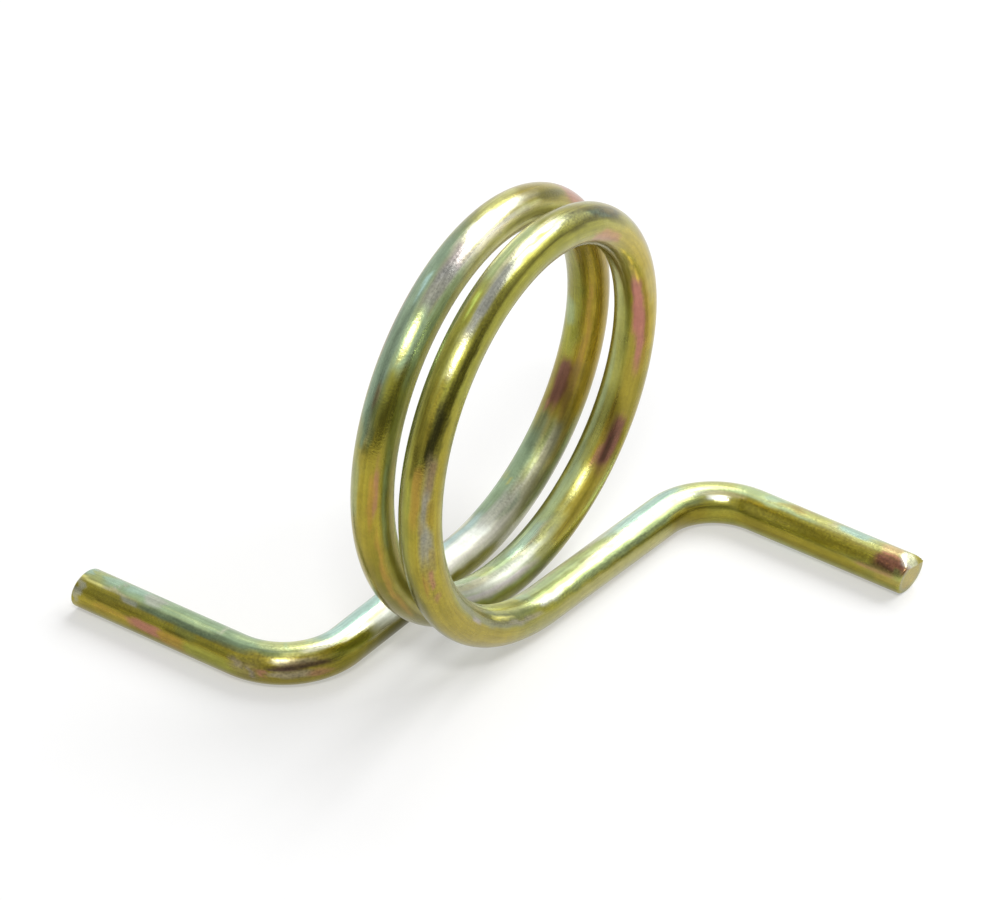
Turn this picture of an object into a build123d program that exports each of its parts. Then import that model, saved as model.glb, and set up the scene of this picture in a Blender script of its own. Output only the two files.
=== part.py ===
from build123d import *
from math import acos, ceil, cos, degrees, radians, sin, tan
import os

# Torsion spring: one piece of round spring wire. A right-hand coil of two open turns is worn on a
# shaft. Two legs leave the foot of the coil on opposite sides, and each ends in a bend and a straight
# end that lies along the coil axis, one to each side.
#
# Frame, in millimetres: the origin is the centre of the coil, on the axis of the shaft. The coil
# axis lies along Y, the legs run along X, and +Z is up. The spring stands on its two ends.

# Wire
wire_diameter = 3.0

# Coil
coil_inside_diameter = 26.0
coil_pitch = 4.0  # from one turn to the next, which leaves an open gap between them
turn_count = 2
leg_droop = 1.4  # degrees by which each leg dips below level, so the coil is wound short by both
arcs_per_turn = 12  # the coil follows its helix in circular arcs

# Left leg, whose end points to +Y
left_leg_run = 12.7  # from the coil to the bend
left_bend_radius = 5.5  # at the centre of the wire
left_end_length = 13.2  # from the bend to the middle of the sheared tip

# Right leg, whose end points to -Y
right_leg_run = 14.0
right_bend_radius = 4.9
right_end_length = 13.1

# Sheared wire ends. A slant is the degrees by which a cut leans from a square cut. A high side is the
# place round the wire, in degrees from +X towards +Z, where the cut stands furthest out.
left_cut_slant = 9.5
left_cut_high_side = -143.0
right_cut_slant = 10.5
right_cut_high_side = 77.0
rollover_depth = 0.65  # how far the shear blade pressed in the high side of the right end
rollover_radius = 1.5
edge_break = 0.15

# Worked out from the sizes above
wire_radius = wire_diameter / 2
coil_radius = (coil_inside_diameter + wire_diameter) / 2
wound_turns = turn_count - 2 * leg_droop / 360
coil_length = coil_pitch * wound_turns
arc_count = ceil(wound_turns * arcs_per_turn)
cut_allowance = wire_diameter  # spare wire past each tip, for the cut to take off
left_end_direction = Vector(0, 1, 0)
right_end_direction = Vector(0, -1, 0)


def around_the_wire(angle):
    """Direction square to a wire end, at an angle in degrees from +X towards +Z."""
    return Vector(cos(radians(angle)), 0, sin(radians(angle)))


def bent_leg(foot, outward, end_direction, leg_run, bend_radius, end_length):
    """Centreline of a leg: a straight run off the coil, a bend, and an end along the coil axis."""
    leg_plane = Plane(origin=foot, x_dir=outward, z_dir=outward.cross(end_direction))
    with BuildLine(leg_plane) as leg:
        run = Line((0, 0), (leg_run, 0))
        bend = JernArc(run @ 1, run % 1, bend_radius, outward.get_angle(end_direction))
        Line(bend @ 1, bend @ 1 + end_direction * (end_length + cut_allowance))
    return leg.wire()


def slanted_cut(tip, end_direction, slant, high_side):
    """Plane of a cut through the tip, facing out of the wire, with its x_dir up the slant."""
    square_cut = Plane(origin=tip, x_dir=around_the_wire(high_side), z_dir=end_direction)
    return Plane(square_cut.location * Rotation(0, -slant, 0))


# Centreline. The helix starts straight below the axis, and turning it levels the droop of the legs.
with BuildLine() as helix:
    Helix(
        coil_pitch,
        coil_length,
        coil_radius,
        center=(0, coil_length / 2, 0),
        direction=right_end_direction,
    )
helix_edge = helix.edge().rotate(Axis.Y, -leg_droop)

# The coil follows that helix in arcs, each of which runs on smoothly from the one before
with BuildLine() as coil_arcs:
    heading = helix_edge % 0
    for arc_number in range(arc_count):
        arc_start = helix_edge @ (arc_number / arc_count)
        arc_end = helix_edge @ ((arc_number + 1) / arc_count)
        arc = TangentArc(arc_start, arc_end, tangent=heading)
        heading = arc % 1
coil = coil_arcs.wire()
left_leg = bent_leg(
    coil @ 0, -(coil % 0), left_end_direction, left_leg_run, left_bend_radius, left_end_length
)
right_leg = bent_leg(
    coil @ 1, coil % 1, right_end_direction, right_leg_run, right_bend_radius, right_end_length
)
centreline = Wire([*left_leg.edges(), *coil.edges(), *right_leg.edges()])
left_tip = left_leg @ 1 - left_end_direction * cut_allowance
right_tip = right_leg @ 1 - right_end_direction * cut_allowance

with BuildPart() as torsion_spring:
    # The wire, swept in one go
    with BuildSketch(Plane(origin=left_leg @ 1, x_dir=(1, 0, 0), z_dir=left_end_direction)):
        Circle(wire_radius)
    sweep(path=centreline)

    # Sheared ends
    left_cut = slanted_cut(left_tip, left_end_direction, left_cut_slant, left_cut_high_side)
    right_cut = slanted_cut(right_tip, right_end_direction, right_cut_slant, right_cut_high_side)
    for cut in (left_cut, right_cut):
        with BuildSketch(cut):
            Circle(wire_diameter)
        extrude(amount=2 * cut_allowance, mode=Mode.SUBTRACT)

    # Rollover: the high side of the right end dips in an arc to a ridge on the cut. The profile is
    # drawn with x out of the wire end and y up to the high side.
    high_side = around_the_wire(right_cut_high_side)
    rollover_plane = Plane(
        origin=right_tip, x_dir=right_end_direction, z_dir=right_end_direction.cross(high_side)
    )
    dip_angle = degrees(acos(1 - rollover_depth / rollover_radius))
    dip_length = rollover_radius * sin(radians(dip_angle))
    ridge_y = wire_radius - rollover_depth
    ridge_x = ridge_y * tan(radians(right_cut_slant))
    with BuildSketch(rollover_plane):
        with BuildLine():
            dip = JernArc((ridge_x - dip_length, wire_radius), (1, 0), rollover_radius, -dip_angle)
            Polyline(
                dip @ 1,
                (ridge_x + wire_diameter, ridge_y),
                (ridge_x + wire_diameter, wire_diameter),
                (ridge_x - dip_length, wire_diameter),
                dip @ 0,
            )
        make_face()
    extrude(amount=wire_diameter, both=True, mode=Mode.SUBTRACT)

    # Edge breaks round both cuts, from the tumbling before plating
    cut_faces = torsion_spring.faces().filter_by(GeomType.PLANE).sort_by(Axis.Y)
    fillet(cut_faces[0].edges() + cut_faces[-1].edges(), edge_break)

torsion_spring.part.label = "torsion_spring"

os.makedirs("parts", exist_ok=True)
export_step(torsion_spring.part, "parts/torsion_spring.step")
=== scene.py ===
import math
import random

import bpy
import numpy as np
from mathutils import Matrix, Vector, noise


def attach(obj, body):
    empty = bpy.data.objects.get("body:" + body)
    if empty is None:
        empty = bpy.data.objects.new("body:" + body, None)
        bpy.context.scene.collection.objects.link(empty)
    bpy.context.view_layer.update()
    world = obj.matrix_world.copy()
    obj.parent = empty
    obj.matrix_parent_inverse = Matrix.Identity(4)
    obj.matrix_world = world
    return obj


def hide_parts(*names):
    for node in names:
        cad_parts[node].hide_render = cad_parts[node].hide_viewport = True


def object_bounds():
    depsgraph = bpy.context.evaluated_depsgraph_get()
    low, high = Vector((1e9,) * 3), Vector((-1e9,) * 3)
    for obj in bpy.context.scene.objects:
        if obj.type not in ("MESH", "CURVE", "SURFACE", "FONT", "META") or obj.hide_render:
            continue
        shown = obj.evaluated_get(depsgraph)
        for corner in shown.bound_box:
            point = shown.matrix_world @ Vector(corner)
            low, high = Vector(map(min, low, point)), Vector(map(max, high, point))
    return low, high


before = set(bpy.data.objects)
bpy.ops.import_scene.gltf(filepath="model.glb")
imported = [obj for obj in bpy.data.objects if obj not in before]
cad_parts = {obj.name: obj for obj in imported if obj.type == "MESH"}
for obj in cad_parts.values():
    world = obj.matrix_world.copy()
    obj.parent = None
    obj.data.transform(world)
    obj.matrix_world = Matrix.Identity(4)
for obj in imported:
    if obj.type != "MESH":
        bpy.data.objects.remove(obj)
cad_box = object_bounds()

# Torsion spring in yellow zinc plated wire. One swept piece of wire stands for the CAD solid and
# follows the same centreline. Lengths are in millimetres until Blender is given them in metres.
MM = 0.001
NODE = "torsion_spring"

# ------------------------------------------------------------------ the spring's own sizes
WIRE_RADIUS = 1.5
COIL_RADIUS = 14.5  # at the centre of the wire
COIL_PITCH = 4.0
TURN_COUNT = 2
LEG_DROOP = math.radians(1.4)
WOUND_TURNS = TURN_COUNT - 2 * LEG_DROOP / math.tau
LEFT_LEG = dict(run=12.7, bend_radius=5.5, end=13.2, end_direction=Vector((0, 1, 0)))
RIGHT_LEG = dict(run=14.0, bend_radius=4.9, end=13.1, end_direction=Vector((0, -1, 0)))

# ------------------------------------------------------------------ the mesh
RING_SPACING = 0.24
POINTS_ROUND = 56
TIP_RUN = 2.4  # the rings over this length lean over gradually to meet the slanted cut
TIP_RING_SPACING = 0.12
EDGE_BREAK = 0.15
EDGE_BREAK_STEPS = 4
FACE_RINGS = 8  # from the rim of a cut to its middle

# Sheared tips, as in the CAD: the slant of a cut, and the place round the wire, from +X towards
# +Z, where it stands furthest out. The high side of the right tip is rolled over, and dips in an
# arc to a ridge at this height above the middle of the cut.
LEFT_TIP = dict(slant=math.radians(9.5), high_side=math.radians(-143), ridge=None)
RIGHT_TIP = dict(slant=math.radians(10.5), high_side=math.radians(77), ridge=0.85)
ROLLOVER_RADIUS = 1.5
RIDGE_EDGE_BREAK = 0.2  # of the edge break round the rest of the cut, because the ridge is blunt


def spaced(length, spacing=RING_SPACING):
    """Shares of a length at which rings come, without the one at its start."""
    count = round(length / spacing)
    return [number / count for number in range(1, count + 1)]


def coil_point(share):
    """Point and heading on the coil, at a share of the way from the left leg to the right one."""
    angle = math.tau * WOUND_TURNS * share
    advance = COIL_PITCH * WOUND_TURNS * (0.5 - share)
    level = Matrix.Rotation(-LEG_DROOP, 3, "Y")
    point = Vector((COIL_RADIUS * math.sin(angle), advance, -COIL_RADIUS * math.cos(angle)))
    heading = Vector((math.cos(angle), -COIL_PITCH / (math.tau * COIL_RADIUS), math.sin(angle)))
    return level @ point, (level @ heading).normalized()


def leg_points(foot, outward, leg):
    """Points and headings of a leg, from the coil to the foot of its tip."""
    turn = outward.angle(leg["end_direction"])
    inward = (leg["end_direction"] - outward * math.cos(turn)).normalized()
    bend_start = foot + outward * leg["run"]
    points = []
    for share in spaced(leg["run"]):
        points.append((foot.lerp(bend_start, share), outward))
    for share in spaced(leg["bend_radius"] * turn):
        angle = turn * share
        along = outward * math.sin(angle) + inward * (1 - math.cos(angle))
        heading = outward * math.cos(angle) + inward * math.sin(angle)
        points.append((bend_start + along * leg["bend_radius"], heading))
    bend_end = points[-1][0]
    end_run = leg["end_direction"] * (leg["end"] - TIP_RUN)
    for share in spaced(end_run.length):
        points.append((bend_end + end_run * share, leg["end_direction"]))
    return points


def centreline():
    """Points and headings from tip to tip, and the places in that list of the coil's two ends."""
    coil = [coil_point(share) for share in [0.0] + spaced(math.tau * COIL_RADIUS * WOUND_TURNS)]
    left = leg_points(coil[0][0], -coil[0][1], LEFT_LEG)
    right = leg_points(coil[-1][0], coil[-1][1], RIGHT_LEG)
    line = [(point, -heading) for point, heading in reversed(left)] + coil + right
    return line, len(left), len(left) + len(coil) - 1


def outward_directions(line, coil_start, coil_end):
    """Directions away from the coil's axis, which the legs carry on round their bends untwisted."""
    outward = [None] * len(line)
    for number in range(coil_start, coil_end + 1):
        point, heading = line[number]
        radial = Vector((point.x, 0, point.z))
        outward[number] = (radial - heading * radial.dot(heading)).normalized()
    for number in range(coil_start - 1, -1, -1):
        bend = line[number + 1][1].rotation_difference(line[number][1])
        outward[number] = bend @ outward[number + 1]
    for number in range(coil_end + 1, len(line)):
        bend = line[number - 1][1].rotation_difference(line[number][1])
        outward[number] = bend @ outward[number - 1]
    return outward


def wire_stations():
    """Stations along the wire between its tips: point, heading, outward direction and distance."""
    line, coil_start, coil_end = centreline()
    outward = outward_directions(line, coil_start, coil_end)
    distance = TIP_RUN
    stations = []
    for number, (point, heading) in enumerate(line):
        if number:
            distance += (point - line[number - 1][0]).length
        stations.append((point, heading, outward[number], distance))
    return stations


def around(heading, outward):
    """Directions round the wire, which start outward and turn to the right of the heading."""
    side = heading.cross(outward)
    angles = [math.tau * number / POINTS_ROUND for number in range(POINTS_ROUND)]
    return [outward * math.cos(angle) + side * math.sin(angle) for angle in angles]


def tip_steps():
    """Rings of a tip as (share of the way out, set back, inset, shrink), from its foot inwards."""
    steps = [(share, EDGE_BREAK, 0.0, 1.0) for share in spaced(TIP_RUN, TIP_RING_SPACING)]
    for number in range(1, EDGE_BREAK_STEPS + 1):
        angle = math.pi / 2 * number / EDGE_BREAK_STEPS
        inset = EDGE_BREAK * (1 - math.cos(angle)) / WIRE_RADIUS
        steps.append((1.0, EDGE_BREAK * (1 - math.sin(angle)), inset, 1.0))
    for number in range(1, FACE_RINGS):
        steps.append((1.0, 0.0, inset, 1 - number / FACE_RINGS))
    return steps


def rolled_height(reach, slope, ridge):
    """Height of the rolled-over side above the wire's middle, at a reach past the middle of the cut."""
    dip_start = ridge * slope - math.sqrt(ROLLOVER_RADIUS**2 - ridge**2)
    dip = max(0.0, reach - dip_start)
    return math.sqrt(max(0.0, ROLLOVER_RADIUS**2 - dip**2))


def tip_rings(foot, directions, end_direction, slant, high_side, ridge):
    """Rings of a tip, ordered from its foot towards the middle of its cut."""
    high = Vector((math.cos(high_side), 0, math.sin(high_side)))
    slope = math.tan(slant)
    rings = []
    for share, set_back, inset, shrink in tip_steps():
        ring = []
        for away in directions:
            height = away.dot(high) * WIRE_RADIUS
            beside = away * WIRE_RADIUS - high * height
            on_ridge = ridge is not None and height > ridge
            edge = RIDGE_EDGE_BREAK if on_ridge else 1.0
            cut_height = ridge if on_ridge else height
            scale = (1 - inset * edge) * shrink
            reach = share * (TIP_RUN + cut_height * scale * slope - set_back * edge)
            if on_ridge and inset == 0.0:
                cut_height = min(height, rolled_height(reach - TIP_RUN, slope, ridge))
            ring.append(foot + end_direction * reach + (high * cut_height + beside) * scale)
        rings.append(ring)
    return rings


def straighten(corners, foot, heading, outward, distance):
    """Where corners near a station lie once the wire is straightened along x."""
    side = heading.cross(outward)
    places = []
    for corner in corners:
        off = corner - foot
        places.append((distance + off.dot(heading), off.dot(outward), off.dot(side)))
    return places


def whole_tip(station, leg, tip):
    """Rings of a tip from its foot to the middle of its cut, and the same straightened. The last
    ring is the single corner in the middle."""
    point, heading, outward, _ = station
    rings = tip_rings(point, around(heading, outward), leg["end_direction"], **tip)
    rings.append([point + leg["end_direction"] * TIP_RUN])
    return rings, [straighten(ring, *station) for ring in rings]


def wire_rings():
    """Rings of corners from the middle of the left cut to that of the right one, and the same
    corners on the straightened wire. The first and the last ring are a single corner."""
    stations = wire_stations()
    left, left_straight = whole_tip(stations[0], LEFT_LEG, LEFT_TIP)
    right, right_straight = whole_tip(stations[-1], RIGHT_LEG, RIGHT_TIP)
    middle, middle_straight = [], []
    for station in stations:
        point, heading, outward, _ = station
        ring = [point + away * WIRE_RADIUS for away in around(heading, outward)]
        middle.append(ring)
        middle_straight.append(straighten(ring, *station))
    rings = left[::-1] + middle + right
    straight = left_straight[::-1] + middle_straight + right_straight
    return rings, straight


def wire_faces(ring_count):
    """Faces between the rings, each as (ring, place in the ring) for its corners in turn."""
    faces = []
    for ring in range(ring_count - 1):
        for number in range(POINTS_ROUND):
            near = [(ring, number), (ring, number + 1)]
            far = [(ring + 1, number), (ring + 1, number + 1)]
            if ring == 0:
                faces.append([near[0], far[0], far[1]])
            elif ring == ring_count - 2:
                faces.append([near[0], far[0], near[1]])
            else:
                faces.append([near[0], far[0], far[1], near[1]])
    return faces


# The surface is mapped in strips, one above the other, in which the wire runs from left to right.
# The two cuts lie side by side below them. Sizes on the map are in millimetres of wire.
MAP_NAME = "OFBake"
MAP_STRIPS = 5
MAP_MARGIN = 0.3
STRIP_HEIGHT = math.tau * WIRE_RADIUS
CUT_HEIGHT = 2 * WIRE_RADIUS


def map_place(face, straight, strip_length):
    """Where the corners of a face lie on the map."""
    places = [straight[ring][number % len(straight[ring])] for ring, number in face]
    first_ring = min(ring for ring, _ in face)
    on_left_cut = first_ring < FACE_RINGS
    on_right_cut = first_ring > len(straight) - 2 - FACE_RINGS
    if on_left_cut or on_right_cut:
        middle = WIRE_RADIUS + MAP_MARGIN
        if on_right_cut:
            middle += CUT_HEIGHT + MAP_MARGIN
        return [(middle + x, CUT_HEIGHT / 2 + MAP_MARGIN + y) for _, x, y in places]
    strip = min(int(places[0][0] / strip_length), MAP_STRIPS - 1)
    foot = CUT_HEIGHT + 2 * MAP_MARGIN + strip * (STRIP_HEIGHT + MAP_MARGIN)
    corners = []
    for (_, number), (along, _, _) in zip(face, places):
        run = along - strip * strip_length
        corners.append((MAP_MARGIN + run, foot + STRIP_HEIGHT * number / POINTS_ROUND))
    return corners


def lay_out_map(mesh, faces, straight):
    """The wire's map, on a square that holds the strips and the cuts with a margin round each."""
    strip_length = straight[-1][0][0] / MAP_STRIPS
    strips_height = MAP_STRIPS * (STRIP_HEIGHT + MAP_MARGIN)
    map_size = max(CUT_HEIGHT + 3 * MAP_MARGIN + strips_height, strip_length + 3 * MAP_MARGIN)
    spots = [spot for face in faces for spot in map_place(face, straight, strip_length)]
    layer = mesh.uv_layers.new(name=MAP_NAME)
    layer.uv.foreach_set("vector", (np.array(spots, np.float32) / map_size).ravel())


def add_attribute(mesh, name, kind, field, values):
    """An attribute of the mesh with a value for each of its corners."""
    layer = mesh.attributes.new(name, kind, "POINT")
    layer.data.foreach_set(field, np.ascontiguousarray(values, np.float32).ravel())


def place(thing):
    """Put a new object into the scene."""
    bpy.context.scene.collection.objects.link(thing)
    return thing


def build_wire():
    """The wire with its map, and its corners on the straightened wire, which an attribute holds."""
    rings, straight = wire_rings()
    first_of = [0]
    for ring in rings:
        first_of.append(first_of[-1] + len(ring))
    faces = wire_faces(len(rings))
    numbered = []
    for face in faces:
        numbered.append([first_of[ring] + number % len(rings[ring]) for ring, number in face])
    mesh = bpy.data.meshes.new("spring_wire")
    mesh.from_pydata([corner * MM for ring in rings for corner in ring], [], numbered)
    mesh.shade_smooth()
    lay_out_map(mesh, faces, straight)
    straight = np.array([corner for ring in straight for corner in ring], np.float32)
    add_attribute(mesh, "straight", "FLOAT_VECTOR", "vector", straight)
    return place(bpy.data.objects.new("spring_wire", mesh)), straight


# ------------------------------------------------------------------ the plating film, with painted highlights
# Colours of the plated metal, which its film tints differently from place to place. The palest
# ones and BRIGHT_YELLOW also serve as painted highlights and glints where a lamp is mirrored.
GOLD = (0.35, 0.28, 0.03)
BRASS = (0.27, 0.22, 0.02)
GREEN_GOLD = (0.30, 0.295, 0.045)
OLIVE = (0.19, 0.17, 0.014)
GREEN_OLIVE = (0.25, 0.24, 0.03)
DARK_OLIVE = (0.10, 0.09, 0.008)
SMOKE = (0.045, 0.045, 0.015)
BROWN = (0.34, 0.245, 0.02)
ORANGE = (0.39, 0.24, 0.04)
PEACH = (0.68, 0.50, 0.24)
AMBER = (0.72, 0.53, 0.07)
PINK = (0.42, 0.17, 0.125)
PURPLE = (0.23, 0.10, 0.06)
PLUM = (0.08, 0.045, 0.025)
SAGE = (0.30, 0.41, 0.24)
MOSS = (0.17, 0.20, 0.06)
DARK_MOSS = (0.135, 0.175, 0.08)
TEAL = (0.13, 0.19, 0.11)
SEA_GREEN = (0.24, 0.34, 0.24)
CYAN = (0.40, 0.58, 0.50)
PALE_CYAN = (0.50, 0.66, 0.64)
PALE_GREEN = (0.45, 0.56, 0.29)
LEMON = (0.51, 0.51, 0.17)
PALE_LEMON = (0.56, 0.60, 0.26)
LIME = (0.48, 0.58, 0.12)
CREAM = (0.56, 0.53, 0.33)
BRIGHT_YELLOW = (0.82, 0.78, 0.26)
WHITE = (0.63, 0.63, 0.48)
ICE = (0.66, 0.69, 0.64)
SILVER = (0.44, 0.45, 0.38)
PEARL = (0.49, 0.47, 0.42)
PEWTER = (0.25, 0.27, 0.17)
ASH = (0.27, 0.275, 0.25)
LILAC = (0.41, 0.36, 0.38)
RUBBED = (0.28, 0.225, 0.10)
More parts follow.
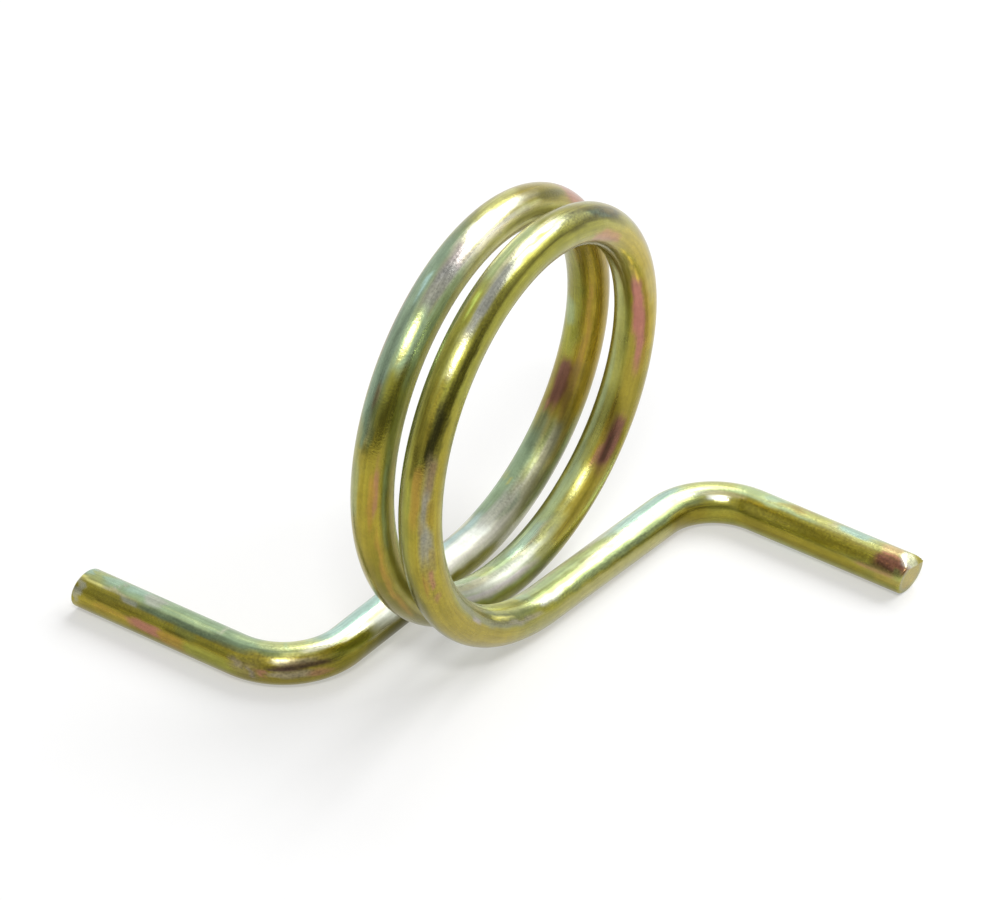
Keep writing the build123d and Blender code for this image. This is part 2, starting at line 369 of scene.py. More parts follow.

# Patches of the film, one over the other. Some are painted light rather than film: painted highlights
# and glints where a lamp is mirrored, and a few whitened or darkened to lift or dim the light where
# they lie. For each: where it starts and ends along the wire, in millimetres from the left tip; from
# where to where it goes round the wire, in degrees from the side away from the coil's axis, on past
# 360 where it has to; its colour; and how far it covers what is below it.
PATCHES = [
    # broad ground colours
    (0, 20, 135, 207, SAGE, 1.0),
    (0, 34, 207, 310, BRASS, 1.0),
    (20, 48, 120, 200, SAGE, 1.0),
    (34, 48, 200, 300, SILVER, 0.8),
    (48, 70, 110, 200, GREEN_GOLD, 1.0),
    (48, 70, 200, 300, BROWN, 1.0),
    (66, 82, 240, 390, GOLD, 0.8),
    (82, 120, 240, 345, GREEN_OLIVE, 1.0),
    (81, 98, 350, 410, SEA_GREEN, 0.9),
    (97, 120, 290, 410, GOLD, 0.8),
    (118, 132, 110, 300, SAGE, 0.8),
    (130, 166, 108, 202, GREEN_GOLD, 0.9),
    (130, 166, 150, 202, LEMON, 0.3),
    (143, 160, 112, 134, TEAL, 0.3),
    (128, 166, 200, 300, GOLD, 0.9),
    (160, 212, 240, 340, GREEN_GOLD, 0.8),
    (166, 205, 335, 410, GREEN_GOLD, 0.9),
    (186, 212, 255, 345, GOLD, 0.9),
    (206, 236, 130, 222, PALE_GREEN, 0.9),
    (208, 236, 222, 310, GREEN_OLIVE, 0.8),
    (234, 251, 130, 200, PALE_LEMON, 0.8),
    (234, 251, 200, 310, GREEN_GOLD, 0.8),
    # the sides of the turns towards each other, out of sight from the front
    (108, 150, 30, 120, LEMON, 0.85),
    (142, 186, 30, 122, CREAM, 0.75),
    (178, 238, 30, 120, PALE_GREEN, 0.75),
    (124, 131, 60, 100, CREAM, 0.6),
    (157, 164, 70, 112, LEMON, 0.7),
    (199, 208, 50, 95, LEMON, 0.8),
    (110, 132, 285, 400, CREAM, 0.8),
    (36, 112, 60, 110, GREEN_GOLD, 0.6),
    # left end
    (0, 0.9, 145, 195, CYAN, 0.6),
    (0.9, 1.6, 150, 200, LEMON, 0.3),
    (1.8, 3.3, 145, 190, CYAN, 0.4),
    (3.4, 3.7, 150, 200, SILVER, 0.6),
    (4, 5.6, 145, 185, CYAN, 0.5),
    (5.2, 7, 160, 198, SILVER, 0.8),
    (6.8, 12.4, 182, 192, PALE_GREEN, 0.9),
    (7, 12, 193, 204, PALE_GREEN, 0.4),
    (12.1, 12.4, 150, 195, WHITE, 0.5),
    (13, 15.4, 160, 185, PALE_GREEN, 0.8),
    # painted highlight: a bright line along the upper side of the left tip
    (0.2, 4.4, 200, 207, CREAM, 0.8),
    (0.2, 2.2, 200, 207, BRIGHT_YELLOW, 0.9),
    (0, 0.6, 207, 280, SILVER, 0.6),
    (0.8, 4, 222, 240, OLIVE, 0.5),
    (4, 5, 209, 221, SILVER, 0.75),
    (4.8, 14, 202, 222, TEAL, 0.9),
    (12, 17.6, 196, 209, TEAL, 0.8),
    (8.4, 10.4, 221, 246, MOSS, 0.7),
    (5, 14, 226, 244, GREEN_GOLD, 0.4),
    (0.5, 14, 245, 250, DARK_OLIVE, 0.6),
    (0.5, 5.6, 251, 287, GOLD, 1.0),
    (1.5, 5.6, 253, 268, ORANGE, 0.5),
    (5.1, 7.9, 248, 279, PINK, 0.85),
    (7.4, 9.7, 252, 290, ORANGE, 0.85),
    (9.5, 14, 251, 300, GREEN_GOLD, 1.0),
    # left bend
    (13.6, 15.3, 240, 288, RUBBED, 0.45),
    (13.8, 14.2, 234, 262, LILAC, 0.25),
    (14.4, 14.9, 252, 285, LILAC, 0.35),
    (15.4, 19.6, 140, 196, BRIGHT_YELLOW, 0.45),
    (16.9, 17.2, 150, 195, PALE_GREEN, 0.8),
    (18.4, 18.7, 150, 190, PALE_GREEN, 0.8),
    (15.2, 16.6, 200, 216, MOSS, 0.8),
    (16.2, 18.6, 200, 218, LEMON, 0.6),
    # painted highlight where the spotlight is mirrored on the left bend
    (15.9, 17.2, 220, 231, CREAM, 0.8),
    (15.3, 16.1, 252, 274, PINK, 0.7),
    (16.4, 18.4, 224, 240, LILAC, 0.25),
    (16.4, 18.2, 255, 276, LILAC, 0.35),
    (16, 17.7, 242, 255, PLUM, 1.0),
    (17, 19.6, 233, 251, PLUM, 0.85),
    (18.1, 19.5, 256, 276, PINK, 0.5),
    # painted highlight where the softbox is mirrored on the left bend
    (17.9, 20.6, 190, 209, WHITE, 0.9),
    # left leg
    (19.4, 28, 140, 186, CYAN, 1.0),
    # painted highlights: two white stripes where the softbox is mirrored on the left leg
    (19.6, 30, 185, 204, WHITE, 0.9),
    (20.7, 23.4, 206, 217, WHITE, 0.9),
    (19.8, 23.8, 203, 206.5, SAGE, 0.7),
    (19.4, 25, 250, 290, OLIVE, 0.7),
    (19.4, 23.3, 245, 250, DARK_OLIVE, 0.6),
    (23, 33, 206, 252, ICE, 1.0),
    (19.4, 23.4, 217, 248, GREEN_OLIVE, 1.0),
    (22.6, 33, 253, 310, DARK_OLIVE, 1.0),
    # left foot of the coil
    (30, 35, 125, 160, SILVER, 0.9),
    (34.8, 37.6, 120, 152, WHITE, 0.9),
    (30, 38, 152, 178, PALE_CYAN, 0.85),
    (30, 38.6, 176, 218, ICE, 0.95),
    (37, 40, 176, 210, SILVER, 0.7),
    (30, 39, 218, 248, PEARL, 0.8),
    (31, 37, 252, 300, GREEN_OLIVE, 0.9),
    (38.6, 41.4, 212, 226, TEAL, 0.5),
    (37.5, 42, 180, 212, SILVER, 0.4),
    (41, 42.1, 167, 175, LEMON, 0.9),
    (41.6, 42.6, 125, 162, LEMON, 0.4),
    # painted shade: darker here to dim the softbox's highlight on this part of the wire
    (42, 46.5, 196, 212, MOSS, 0.8),
    (41, 48, 213, 250, OLIVE, 0.4),
    (44, 47.6, 150, 185, TEAL, 0.45),
    (40, 47.6, 250, 280, MOSS, 0.8),
    # first turn, seen through the coil
    (47.3, 53, 110, 160, GOLD, 0.9),
    (47.4, 53, 156, 236, BROWN, 0.9),
    (48.2, 52.5, 158, 202, PURPLE, 1.0),
    (47.6, 48.8, 155, 170, PINK, 0.6),
    (51.2, 52.3, 163, 182, PURPLE, 0.9),
    (48, 54, 202, 222, PURPLE, 0.35),
    (51.5, 61, 213, 225, ORANGE, 0.7),
    (55.4, 58.2, 135, 178, SAGE, 0.5),
    (58, 66, 130, 190, OLIVE, 0.6),
    (60, 68, 195, 260, BROWN, 0.9),
    # first turn, over the top
    (66, 71, 285, 370, PINK, 0.8),
    (71, 75.6, 304, 336, OLIVE, 0.9),
    (71.6, 75.2, 298, 328, DARK_OLIVE, 0.5),
    (70, 114, 277, 302, LEMON, 0.3),
    (46, 68, 235, 256, AMBER, 0.65),
    (75, 80, 300, 315, LEMON, 0.8),
    # painted highlight: white where the softbox is mirrored on the first turn
    (75.6, 84, 318, 346, WHITE, 0.95),
    (79, 84.4, 346, 362, WHITE, 0.8),
    (76, 80.5, 350, 385, LEMON, 0.8),
    # partly film tint, partly painted light: whitened to lift a band that the lamps leave dark
    (76, 87, 282, 314, WHITE, 0.6),
    (78.5, 85.5, 294, 314, PEARL, 0.8),
    (70, 84, 255, 292, LEMON, 0.75),
    (83, 86, 308, 352, LILAC, 0.8),
    (84.4, 88.4, 311, 352, ASH, 0.85),
    (84, 92.6, 286, 312, SAGE, 0.8),
    # first turn, down the left side
    (88, 92.4, 308, 352, SAGE, 0.9),
    # painted highlight where the spotlight is mirrored on the first turn
    (88.6, 91.6, 328, 344, LEMON, 0.9),
    (85.6, 87.9, 363, 372, CYAN, 1.0),
    (92.2, 97.8, 308, 334, OLIVE, 0.5),
    (92.2, 96.4, 334, 346, GREEN_GOLD, 0.9),
    (92.6, 97.6, 346, 358, MOSS, 0.8),
    (93.5, 95.2, 356, 371, RUBBED, 0.8),
    (95, 98, 368, 382, TEAL, 0.8),
    (97.2, 98.4, 344, 368, DARK_OLIVE, 0.6),
    (98, 115, 296, 350, GOLD, 0.9),
    (98.6, 102.4, 312, 325, PINK, 0.6),
    (99, 103.6, 322, 338, ORANGE, 0.9),
    (104, 110, 312, 322, ORANGE, 0.9),
    (98.6, 103.4, 372, 405, SAGE, 0.4),
    (98, 105, 280, 299, SAGE, 0.5),
    (102.2, 103.8, 328, 331, BROWN, 0.9),
    (98, 116, 250, 290, BRASS, 0.9),
    (106, 122, 300, 352, OLIVE, 0.8),
    (104.6, 112.6, 308, 323, ORANGE, 0.75),
    # second turn, foot
    (118, 124.4, 145, 192, PALE_GREEN, 0.6),
    (121.6, 124, 150, 185, LEMON, 0.5),
    (118, 130, 192, 226, ASH, 0.7),
    (118, 129, 204, 222, SILVER, 0.6),
    (116, 123, 184, 206, WHITE, 0.9),
    (126, 131, 185, 197, CREAM, 0.7),
    (117, 126, 240, 256, PALE_GREEN, 0.6),
    (121, 129, 262, 300, DARK_OLIVE, 0.8),
    (118, 127.5, 226, 250, LILAC, 0.8),
    (118, 127, 250, 290, GREEN_GOLD, 0.9),
    (126, 131, 165, 190, CYAN, 0.5),
    (127, 131, 150, 165, PALE_GREEN, 0.7),
    (128.6, 134, 193, 212, LEMON, 0.7),
    (128, 133.5, 214, 226, LEMON, 0.25),
    # second turn, inside
    (131, 136.6, 160, 188, PALE_GREEN, 0.7),
    (133.4, 136.4, 193, 212, LEMON, 0.8),
    (133.5, 138.5, 254, 272, LEMON, 0.35),
    (130, 136, 226, 250, GOLD, 0.8),
    (130, 146, 150, 168, SAGE, 0.5),
    (136.6, 142, 195, 210, BROWN, 0.8),
    (136.4, 140.9, 211, 252, PURPLE, 1.0),
    (137, 140, 222, 234, PLUM, 0.6),
    (136.4, 138.4, 203, 214, PINK, 0.5),
    (141, 145.6, 210, 250, GOLD, 0.9),
    (144.5, 153, 238, 257, ORANGE, 0.6),
    (144.8, 151, 219, 242, PINK, 0.9),
    (147.6, 154.4, 207, 236, PINK, 1.0),
    # partly film tint, partly painted glint: a bright golden line
    (153.6, 158.6, 225.5, 231.5, AMBER, 0.9),
    (151, 154.4, 252, 276, SILVER, 0.2),
    (150, 160, 182, 208, GOLD, 0.8),
    (160.8, 164.6, 236, 272, PINK, 0.7),
    (146, 163, 250, 300, AMBER, 0.25),
    # second turn, over the top
    (161.4, 168, 302, 344, DARK_OLIVE, 0.9),
    (163.2, 165, 306, 316, TEAL, 0.8),
    (162.6, 163.4, 318, 332, BROWN, 0.6),
    (162, 166.2, 306, 330, SMOKE, 0.5),
    (164, 166.4, 318, 330, TEAL, 0.7),
    (165.8, 168.6, 313, 334, LEMON, 0.5),
    (168, 177, 302, 320, SMOKE, 0.45),
    (167.2, 175.6, 322, 354, PEWTER, 0.9),
    # painted highlights: two white streaks where the softbox is mirrored on the second turn
    (168.4, 175, 327, 335, WHITE, 0.9),
    (169, 174.6, 342, 351, WHITE, 0.9),
    (169.6, 172.4, 335, 342, BRASS, 0.8),
    (170.4, 176, 350, 395, PALE_GREEN, 0.7),
    (168.5, 176, 349, 364, CREAM, 0.8),
    (174.4, 180, 324, 354, ASH, 0.9),
    (176.6, 178.9, 365, 376, LIME, 1.0),
    # painted highlight where the spotlight is mirrored on the second turn
    (179.4, 182.8, 332, 350, CREAM, 0.7),
    (162.8, 190, 297, 306, DARK_OLIVE, 0.9),
    (175, 189.6, 303, 322, DARK_OLIVE, 0.78),
    (184.4, 189, 315, 336, SMOKE, 0.8),
    # second turn, down the left side
    (183, 188, 338, 350, GOLD, 0.8),
    (179.4, 183.4, 345, 360, LEMON, 0.6),
    (183, 190, 350, 372, BRASS, 0.7),
    (176, 204, 374, 392, OLIVE, 0.35),
    (187.6, 190, 352, 370, DARK_OLIVE, 0.7),
    (187.6, 191.8, 296, 331, RUBBED, 0.8),
    (188.2, 190, 300, 318, PURPLE, 0.3),
    (189.8, 194.2, 305, 326, ASH, 0.6),
    (191, 192.8, 289, 311, BROWN, 0.7),
    (193.2, 197, 291, 327, ASH, 0.65),
    (194.6, 196.4, 288, 305, BROWN, 0.6),
    (192.2, 193.6, 318, 332, RUBBED, 0.7),
    (189, 193, 334, 356, ORANGE, 0.85),
    (196, 200, 290, 330, GOLD, 0.9),
    (196.6, 197.6, 300, 316, PINK, 0.6),
    (198.4, 199.2, 296, 314, PINK, 0.5),
    (196.8, 198.6, 322, 334, ORANGE, 0.8),
    (192, 204, 338, 362, GOLD, 0.7),
    (197, 206, 346, 385, OLIVE, 0.9),
    # right foot of the coil
    (199, 211, 256, 312, GOLD, 0.95),
    (199, 204, 252, 264, GREEN_GOLD, 0.6),
    (200, 212, 232, 256, PEWTER, 0.7),
    (204, 205.2, 250, 260, LILAC, 0.6),
    (206, 213.6, 210, 236, MOSS, 0.8),
    # partly film tint, partly painted glint: a bright yellow spot
    (207, 210, 223, 233, BRIGHT_YELLOW, 0.95),
    (205, 214.5, 150, 190, BRIGHT_YELLOW, 0.7),
    # painted light: white to lift the dark reflection of the coil on the right leg's upper side
    (213, 226, 136, 180, WHITE, 0.9),
    (209.6, 214, 238, 249, LILAC, 0.35),
    (207, 213, 170, 212, LEMON, 0.75),
    (212.4, 214.2, 160, 198, CYAN, 0.6),
    # right leg
    (212, 221.5, 181, 207, MOSS, 0.8),
    (214, 224, 158, 184, PALE_GREEN, 0.9),
    (220.5, 234.6, 182, 214, PEWTER, 0.9),
    # painted highlights: pale lines where the softbox is mirrored along the right leg
    (221, 234, 187, 195, CREAM, 0.9),
    (224, 233, 201, 206, WHITE, 0.5),
    (212, 231, 250, 300, CREAM, 0.3),
    (224, 232, 150, 184, CYAN, 0.85),
    (214, 216.4, 210, 228, SILVER, 0.9),
    (216, 233.5, 216, 240, DARK_MOSS, 0.9),
    # painted highlight: the lower line of the softbox's reflection on the right leg
    (212.8, 226, 209, 216, CREAM, 0.9),
    (216, 230, 236, 244, MOSS, 0.6),
    (229, 234, 238, 290, BRASS, 0.9),
    # right bend
    # painted highlight where the spotlight is mirrored on the right bend, with a paler ring round it
    (233.6, 235.5, 216, 232, ICE, 0.95),
    (233, 236.4, 204, 218, CREAM, 0.7),
    (232, 237, 150, 190, LEMON, 0.7),
    (235, 242.6, 192, 203, PALE_GREEN, 0.8),
    (236, 239.6, 150, 192, PALE_GREEN, 0.8),
    # right end
    (238.4, 239.8, 150, 188, CYAN, 0.4),
    (239.9, 241.6, 150, 186, ORANGE, 0.5),
    (241.6, 244.4, 160, 194, LEMON, 0.9),
    (243.6, 244.2, 150, 185, CREAM, 0.6),
    (244.4, 247.4, 150, 190, CYAN, 0.85),
    (246, 249, 188, 200, LEMON, 0.9),
    (248, 249.8, 150, 195, PEACH, 0.9),
    (235, 248.4, 204, 248, GOLD, 0.5),
    (235, 248.5, 252, 290, BRASS, 0.9),
    (233, 249, 248.5, 252, DARK_OLIVE, 0.3),
    (248, 251, 204, 245, PURPLE, 1.0),
    (248.4, 250.4, 194, 206, PINK, 0.8),
    (248, 249.8, 232, 246, PLUM, 0.5),
    (249.6, 250.6, 228, 246, MOSS, 0.7),
    (246.6, 250, 249, 262, PINK, 0.45),
    (248.6, 250.6, 262, 280, ORANGE, 0.4),
    # painted highlight: a white ring where the rolled-over tip mirrors the softbox, lemon inside it
    (249.9, 252, 150, 212, ICE, 0.8),
    (250.4, 252, 150, 212, LEMON, 0.5),
]

# Where the film is dull, and where it is speckled: as above, with no colour but with how strongly
DULL_PATCHES = [
    (14, 19.5, 200, 290, 0.4),
    (23.4, 33, 204, 250, 1.0),
    (30, 41, 140, 262, 0.8),
    (40, 53, 110, 290, 0.4),
    (53, 70, 110, 290, 0.1),
    (118, 129, 190, 290, 0.5),
    (129, 148, 110, 280, 0.25),
    (188, 199, 285, 335, 0.3),
    (197, 214, 240, 320, 0.15),
    (206, 225, 130, 188, 0.7),
    (72, 118, 262, 305, 0.4),
]
SPECKLED_PATCHES = [
    (4, 15, 200, 225, 0.5),
    (13.5, 19.5, 200, 285, 0.9),
    (38, 47, 180, 230, 0.6),
    (83, 88, 305, 352, 0.8),
    (121, 136, 190, 215, 0.5),
    (162, 170, 300, 345, 0.9),
    (174, 190, 296, 350, 0.7),
    (187, 200, 285, 335, 0.6),
    (203, 213, 205, 256, 0.6),
    (214, 230, 222, 244, 0.8),
    (236, 250.5, 190, 248, 0.6),
    (248, 250.5, 200, 250, 0.9),
]
PATCH_EDGE = 0.7  # width of a patch's soft edge, as a share of its narrower half
WIDEST_EDGE = 0.7
EDGE_STRETCH = 2.5  # a length counts this much less, which softens the edges along the wire
PATCH_SQUARENESS = 3  # 2 for an ellipse, more for a rounded box
PLAIN_SPECKLE = 0.2  # where no patch is speckled
DEGREE = math.radians(1) * WIRE_RADIUS  # a degree round the wire, in millimetres
SEED = 11

# Two smooth noises move the outlines of the patches. Each has a scale, which the stretch changes
# along the wire, a place of its own, and how far it moves an outline, in millimetres along the wire,
# outward and sideways. The broad one also swings the ground between green gold and gold.
BROAD_NOISE = dict(stretch=1.0, scale=0.8, offset=0.0)
BROAD_STRAY = np.array([0.8, 0.14, 0.14])
STREAKY_NOISE = dict(stretch=0.3, scale=3.0, offset=40.0)
STREAKY_STRAY = np.array([0.45, 0.06, 0.06])
GROUND_SWING = 0.9

# Patches that a seeded draw scatters over the whole wire, below those of the list. Places and
# lengths are in millimetres along the wire, and widths in degrees round it.
SCATTERED_COUNT = 130
SCATTERED_OVER = 250
SCATTERED_LENGTHS = (2, 9)
SCATTERED_WIDTHS = (16, 60)
SCATTERED_STRENGTH = 0.5
SCATTERED_COLOURS = [OLIVE, SAGE, PALE_GREEN, ORANGE, PINK, BROWN, LEMON, TEAL, PURPLE, BRASS]

# The cuts at both ends are golden, pinkish in places and towards the coil's axis, and greyer at the
# rim, where the grey starts at this radius and is full after this fade
RIM_START, RIM_FADE = 0.95, 0.4
CUT_PINK, MOST_CUT_PINK = 0.1, 0.35
CUT_PINK_SLOPE = -0.15  # for each millimetre outward
CUT_PINK_SWING = 0.4  # by the broad noise


def wander(places, stretch, scale, offset):
    """A vector of smooth noise for each place on the straightened wire."""
    shift = Vector((offset, SEED, 0))
    spots = (places * np.array([stretch, 1, 1]) * scale).tolist()
    return np.array([noise.noise_vector(Vector(spot) + shift) for spot in spots])


def cover(distance, angle, start, end, first, last):
    """How far a patch covers each corner, from 0 to 1."""
    half_length, half_width = (end - start) / 2, (last - first) / 2
    along = np.abs(distance - (start + end) / 2) / half_length
    turn = (angle - (first + last) / 2 + 180) % 360 - 180
    about = np.abs(turn) / half_width
    reach = (along**PATCH_SQUARENESS + about**PATCH_SQUARENESS) ** (1 / PATCH_SQUARENESS)
    narrow = min(half_length / EDGE_STRETCH, half_width * DEGREE)
    edge = min(WIDEST_EDGE, PATCH_EDGE * narrow)
    share = np.clip(0.5 - (reach - 1) * narrow / edge, 0, 1)
    return share * share * (3 - 2 * share)


def scattered_patches():
    """Patches for the sides that the listed ones leave plain."""
    draw = random.Random(SEED)
    patches = []
    for _ in range(SCATTERED_COUNT):
        start, first = draw.uniform(0, SCATTERED_OVER), draw.uniform(0, 360)
        end, last = start + draw.uniform(*SCATTERED_LENGTHS), first + draw.uniform(*SCATTERED_WIDTHS)
        patches.append((start, end, first, last, draw.choice(SCATTERED_COLOURS), SCATTERED_STRENGTH))
    return patches


def strongest(distance, angle, plain, patches):
    """At each corner, the strength of the patch that is strongest there, and no less than plain."""
    result = np.full(len(distance), plain)
    for *box, strength in patches:
        result = np.maximum(result, cover(distance, angle, *box) * strength)
    return result


def mixed(first, second, share):
    """The colour at a share of the way from the first to the second."""
    return np.array(first) * (1 - share) + np.array(second) * share


def colour_cuts(colour, straight, broad):
    """Give the corners inside both cuts their own colour."""
    count = 1 + (FACE_RINGS - 1) * POINTS_ROUND
    for cut in (slice(0, count), slice(len(straight) - count, len(straight))):
        outward = straight[cut, 1:2]
        radius = np.hypot(outward, straight[cut, 2:3])
        rim = np.clip((radius - RIM_START) / RIM_FADE, 0, 1)
        pinkish = CUT_PINK + CUT_PINK_SLOPE * outward + CUT_PINK_SWING * broad[cut, 1:2]
        face = mixed(GOLD, PINK, np.clip(pinkish, 0, MOST_CUT_PINK))
        colour[cut] = mixed(face, PEWTER, rim)


def colour_film_and_highlights(mesh, straight):
    """Film colour with its painted highlights, dullness and speckle at each corner of the wire."""
    noise.seed_set(SEED)  # without this, the noise changes with the time of day
    broad = wander(straight, **BROAD_NOISE)
    streaky = wander(straight, **STREAKY_NOISE)
    strayed = straight + BROAD_STRAY * broad + STREAKY_STRAY * streaky
    distance = strayed[:, 0]
    angle = np.degrees(np.arctan2(strayed[:, 2], strayed[:, 1]))
    colour = mixed(GREEN_GOLD, GOLD, np.clip(0.5 + GROUND_SWING * broad[:, :1], 0, 1))
    for *box, tint, strength in scattered_patches() + PATCHES:
        covered = cover(distance, angle, *box)[:, None] * strength
        colour += (np.array(tint) - colour) * covered
    colour_cuts(colour, straight, broad)
    dull = strongest(distance, angle, 0.0, DULL_PATCHES)
    speckle = strongest(distance, angle, PLAIN_SPECKLE, SPECKLED_PATCHES)
    opaque = np.ones((len(straight), 1))
    add_attribute(mesh, "film_and_highlights", "FLOAT_COLOR", "color", np.hstack([colour, opaque]))
    add_attribute(mesh, "dullness", "FLOAT", "value", dull)
    add_attribute(mesh, "speckle", "FLOAT", "value", speckle)


# ------------------------------------------------------------------ node trees
def node_tree(owner):
    """An empty node tree for a material or a world."""
    owner.use_nodes = True
    owner.node_tree.nodes.clear()
    return owner.node_tree


def add(tree, kind, inputs=None, **settings):
    """A shader node, with its settings, and with a value or a socket for each input named."""
    node = tree.nodes.new("ShaderNode" + kind)
    for name, value in settings.items():
        setattr(node, name, value)
    for name, value in (inputs or {}).items():
        if isinstance(value, bpy.types.NodeSocket):
            tree.links.new(value, node.inputs[name])
        else:
            node.inputs[name].default_value = value
    return node


def calc(tree, operation, *values):
    """The result of a Math node."""
    return add(tree, "Math", dict(enumerate(values)), operation=operation).outputs[0]


def ramp(tree, value, start, end, low=0.0, high=1.0):
    """A smooth step from low to high, as value goes from start to end."""
    limits = {"Value": value, "From Min": start, "From Max": end, "To Min": low, "To Max": high}
    return add(tree, "MapRange", limits, interpolation_type="SMOOTHSTEP").outputs[0]


def between(tree, share, low, high):
    """The value at a share of the way from low to high."""
    return add(tree, "MapRange", {"Value": share, "To Min": low, "To Max": high}).outputs[0]


def seen_directly_or_mirrored(tree):
    """1 for a ray from the camera, and for one by which metal or glass shows its surroundings."""
    path = add(tree, "LightPath").outputs
    either = calc(tree, "MAXIMUM", path["Is Camera Ray"], path["Is Glossy Ray"])
    return calc(tree, "MAXIMUM", either, path["Is Transmission Ray"])


# ------------------------------------------------------------------ the plated wire's material
PLAIN_ROUGHNESS = 0.24
DULL_ROUGHNESS = 0.2  # added where the film is dull
DULL_METALLIC = 0.7  # taken off where the film is dull
RELIEF_HEIGHT, RELIEF_STRENGTH = 0.1, 0.12

# Noises of the film, with how many of their spots come to a millimetre: its grain, its clouds, and
# the lines of the drawing die, which run along the wire
GRAIN = dict(scale=5.5, detail=4.0)
CLOUDS = dict(scale=0.9, detail=4.0)
DIE_LINES = dict(scale=4.0, detail=3.0)
DIE_LINE_STRETCH = 0.06  # they are this many times as fine along the wire as across it
NOISE_RANGE = (0.3, 0.7)  # most of a noise lies between these

# How the noises change the colour, as a factor, and the roughness, as a sum
GRAIN_CONTRAST = 1.7  # where the film is most speckled
CLOUD_SHADES = (0.92, 1.08)
DIE_LINE_SHADES = (0.9, 1.1)
DIE_LINE_ROUGHNESS = (-0.03, 0.04)


def film_noise(tree, spot, scale, detail):
    """Noise at a spot on the straightened wire."""
    return add(tree, "TexNoise", {"Vector": spot, "Scale": scale, "Detail": detail}).outputs[0]


def plated_wire():
    """The metal with its film and painted highlights, from the wire's attributes and from noise on the
    straightened wire.
    """
    material = bpy.data.materials.new("plated_wire")
    tree = node_tree(material)
    film_and_highlights = add(tree, "Attribute", attribute_name="film_and_highlights").outputs["Color"]
    dull = add(tree, "Attribute", attribute_name="dullness").outputs["Fac"]
    speckle = add(tree, "Attribute", attribute_name="speckle").outputs["Fac"]
    straight = add(tree, "Attribute", attribute_name="straight").outputs["Vector"]
    stretch = (DIE_LINE_STRETCH, 1, 1)
    stretched = add(tree, "VectorMath", {0: straight, 1: stretch}, operation="MULTIPLY").outputs[0]
    die_lines = film_noise(tree, stretched, **DIE_LINES)
    grain = film_noise(tree, straight, **GRAIN)
    clouds = film_noise(tree, straight, **CLOUDS)

    swing = calc(tree, "MULTIPLY_ADD", grain, GRAIN_CONTRAST, -GRAIN_CONTRAST / 2)
    shade = calc(tree, "MULTIPLY_ADD", swing, speckle, 1.0)
    shade = calc(tree, "MULTIPLY", shade, ramp(tree, die_lines, *NOISE_RANGE, *DIE_LINE_SHADES))
    shade = calc(tree, "MULTIPLY", shade, ramp(tree, clouds, *NOISE_RANGE, *CLOUD_SHADES))
    colour = add(tree, "VectorMath", {0: film_and_highlights, "Scale": shade}, operation="SCALE").outputs[0]

    roughness = calc(tree, "MULTIPLY_ADD", dull, DULL_ROUGHNESS, PLAIN_ROUGHNESS)
    uneven = ramp(tree, die_lines, *NOISE_RANGE, *DIE_LINE_ROUGHNESS)
    roughness = calc(tree, "ADD", roughness, uneven)
    metallic = calc(tree, "MULTIPLY_ADD", dull, -DULL_METALLIC, 1.0)

    relief = calc(tree, "ADD", grain, die_lines)
    relief_settings = {"Height": relief, "Strength": RELIEF_STRENGTH, "Distance": RELIEF_HEIGHT * MM}
    bump = add(tree, "Bump", relief_settings)
    tangent = add(tree, "Tangent", direction_type="UV_MAP", uv_map=MAP_NAME)
    metal = add(
        tree,
        "BsdfPrincipled",
        {
            "Base Color": colour,
            "Metallic": metallic,
            "Roughness": roughness,
            "Normal": bump.outputs[0],
            "Tangent": tangent.outputs[0],
            "Anisotropic": 0.7,
            "Anisotropic Rotation": 0.25,  # gloss spreads across the wire
            "Coat Weight": 0.2,
            "Coat Roughness": 0.15,
        },
    )
    add(tree, "OutputMaterial", {"Surface": metal.outputs[0]})
    return material


# ------------------------------------------------------------------ camera and studio
# A direction is given by azimuth, from -Y towards +X, and by elevation, both in degrees.
CAMERA_AZIMUTH, CAMERA_ELEVATION, CAMERA_ROLL = -56.19, 35.46, 1.74
CAMERA_DISTANCE = 580.0
AIM_RIGHT, AIM_UP = -0.63, -2.65  # the camera's line of sight passes this far from the origin
NEAR_CLIP = 10.0
IMAGE_WIDTH = 993
FOCAL_LENGTH_IN_PIXELS = 8367.0
SENSOR_WIDTH = 36.0

LAMP_DISTANCE = 1500.0
SOFTBOX = dict(azimuth=76, elevation=48, width=58, height=38, radiance=4.2)
SPOTLIGHT = dict(azimuth=-58, elevation=54, width=15, height=7, radiance=28.0)
FILL = 0.25  # light of the white room on matt surfaces
FLOOR_SIZE = 6000.0
FLOOR_COLOUR = 0.62
FLOOR_GLOW = 0.4  # brings the floor up to white in the picture and in the metal

# Grey screens that the metal mirrors: azimuth and spread to each side, elevations between which the
# screen stands, softness of its edges, and how light it is beside the white room
SCREENS = [
    dict(azimuth=-65, spread=85, low=-5, high=25, soft=10, level=0.5),
    dict(azimuth=-35, spread=45, low=-5, high=22, soft=14, level=0.4),
    dict(azimuth=-145, spread=22, low=10, high=60, soft=12, level=0.6),
]


def direction(azimuth, elevation):
    """The direction from the origin towards something at an azimuth and an elevation."""
    azimuth, elevation = math.radians(azimuth), math.radians(elevation)
    level = math.cos(elevation)
    return Vector((math.sin(azimuth) * level, -math.cos(azimuth) * level, math.sin(elevation)))


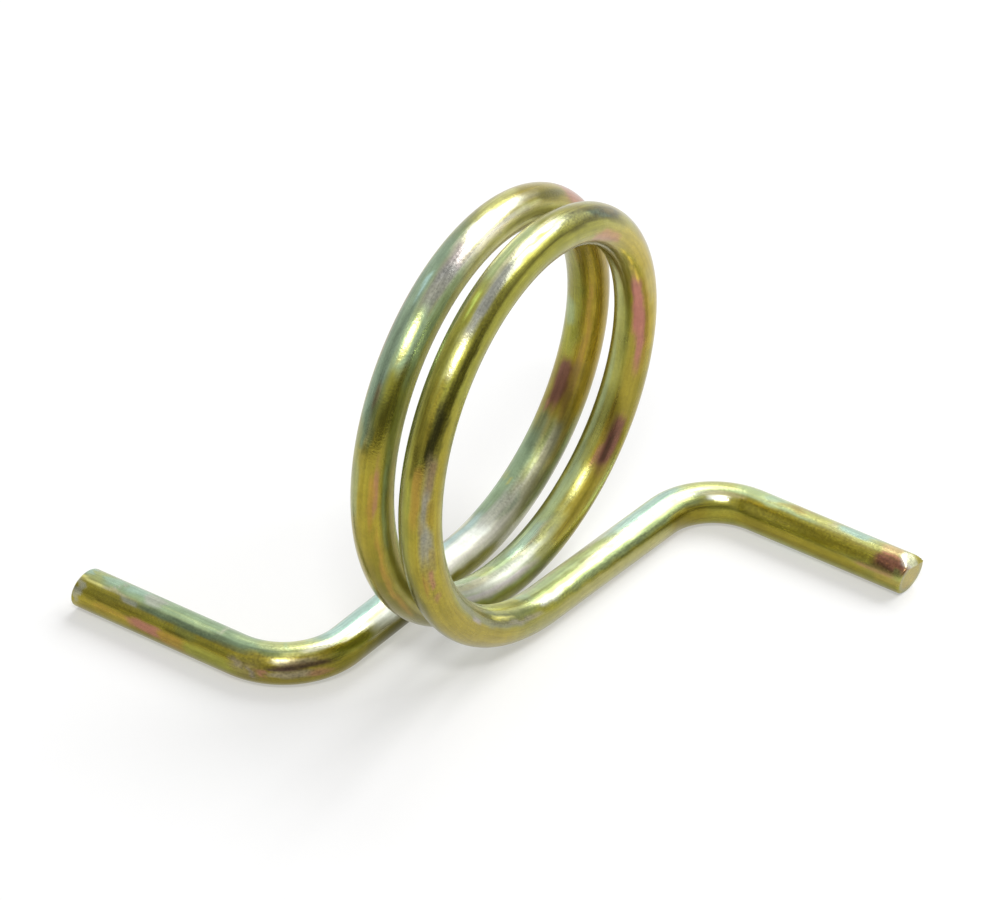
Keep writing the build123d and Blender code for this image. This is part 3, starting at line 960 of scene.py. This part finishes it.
def place_camera():
    """The camera, rolled a little about its line of sight, which passes beside the origin."""
    back = direction(CAMERA_AZIMUTH, CAMERA_ELEVATION)
    level_right = direction(CAMERA_AZIMUTH + 90, 0)
    tilt = Matrix.Rotation(math.radians(CAMERA_ROLL), 3, back)
    right = tilt @ level_right
    up = tilt @ back.cross(level_right)
    data = bpy.data.cameras.new("camera")
    data.sensor_width = SENSOR_WIDTH
    data.lens = FOCAL_LENGTH_IN_PIXELS * SENSOR_WIDTH / IMAGE_WIDTH
    data.clip_start = NEAR_CLIP * MM
    camera = place(bpy.data.objects.new("camera", data))
    stand = Matrix((right, up, back)).transposed().to_4x4()
    stand.translation = (back * CAMERA_DISTANCE + right * AIM_RIGHT + up * AIM_UP) * MM
    camera.matrix_world = stand
    bpy.context.scene.camera = camera


def hang_lamp(name, azimuth, elevation, width, height, radiance):
    """A rectangular lamp that faces the spring, as wide and high in degrees as seen from there."""
    data = bpy.data.lights.new(name, "AREA")
    data.shape = "RECTANGLE"
    data.size = 2 * math.tan(math.radians(width / 2)) * LAMP_DISTANCE * MM
    data.size_y = 2 * math.tan(math.radians(height / 2)) * LAMP_DISTANCE * MM
    data.energy = radiance * math.pi * data.size * data.size_y
    lamp = place(bpy.data.objects.new(name, data))
    towards = direction(azimuth, elevation)
    lamp.location = towards * LAMP_DISTANCE * MM
    lamp.rotation_euler = towards.to_track_quat("Z", "Y").to_euler()


def screen_shade(tree, ray, azimuth, spread, low, high, soft, level):
    """Factor that one screen puts on the white room, in the direction of a ray."""
    flat = add(tree, "VectorMath", {0: ray, 1: (1, 1, 0)}, operation="MULTIPLY").outputs[0]
    flat = add(tree, "VectorMath", {0: flat}, operation="NORMALIZE").outputs[0]
    centre = direction(azimuth, 0)
    facing = add(tree, "VectorMath", {0: flat, 1: centre}, operation="DOT_PRODUCT").outputs["Value"]
    height = add(tree, "SeparateXYZ", {0: ray}).outputs["Z"]
    side = [math.cos(math.radians(spread + shift)) for shift in (soft / 2, -soft / 2)]
    foot = [math.sin(math.radians(low + shift)) for shift in (-soft / 2, soft / 2)]
    head = [math.sin(math.radians(high + shift)) for shift in (-soft / 2, soft / 2)]
    across = ramp(tree, facing, *side)
    upward = calc(tree, "MULTIPLY", ramp(tree, height, *foot), ramp(tree, height, *head, 1.0, 0.0))
    covered = calc(tree, "MULTIPLY", across, upward)
    return between(tree, covered, 1.0, level)


def build_room():
    """A white room for the camera and for mirrored light, with the screens in mirrored light only."""
    world = bpy.data.worlds.new("room")
    bpy.context.scene.world = world
    world.cycles.sampling_method = "NONE"
    tree = node_tree(world)
    ray = add(tree, "TexCoord").outputs["Generated"]
    shade = 1.0
    for screen in SCREENS:
        shade = calc(tree, "MULTIPLY", shade, screen_shade(tree, ray, **screen))
    camera_ray = add(tree, "LightPath").outputs["Is Camera Ray"]
    white_or_shade = calc(tree, "MAXIMUM", camera_ray, shade)
    strength = between(tree, seen_directly_or_mirrored(tree), FILL, white_or_shade)
    background = add(tree, "Background", {"Color": (1, 1, 1, 1), "Strength": strength})
    add(tree, "OutputWorld", {"Surface": background.outputs[0]})


def lay_floor():
    """A pale matt floor, white in the picture but for the spring's own shadow."""
    half = FLOOR_SIZE / 2 * MM
    height = cad_box[0][2]
    corners = [(-half, -half), (half, -half), (half, half), (-half, half)]
    mesh = bpy.data.meshes.new("floor")
    mesh.from_pydata([(x, y, height) for x, y in corners], [], [(0, 1, 2, 3)])
    material = bpy.data.materials.new("floor")
    material.cycles.emission_sampling = "NONE"
    tree = node_tree(material)
    matt = add(tree, "BsdfDiffuse", {"Color": (FLOOR_COLOUR, FLOOR_COLOUR, FLOOR_COLOUR, 1)})
    strength = calc(tree, "MULTIPLY", seen_directly_or_mirrored(tree), FLOOR_GLOW)
    glow = add(tree, "Emission", {"Strength": strength})
    both = add(tree, "AddShader", {0: matt.outputs[0], 1: glow.outputs[0]})
    add(tree, "OutputMaterial", {"Surface": both.outputs[0]})
    mesh.materials.append(material)
    place(bpy.data.objects.new("floor", mesh))


place_camera()
build_room()
hang_lamp("softbox", **SOFTBOX)
hang_lamp("spotlight", **SPOTLIGHT)
lay_floor()

wire, straight = build_wire()
colour_film_and_highlights(wire.data, straight)
wire.data.materials.append(plated_wire())
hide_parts(NODE)
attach(wire, "root")

bpy.context.scene.view_settings.view_transform = "Standard"
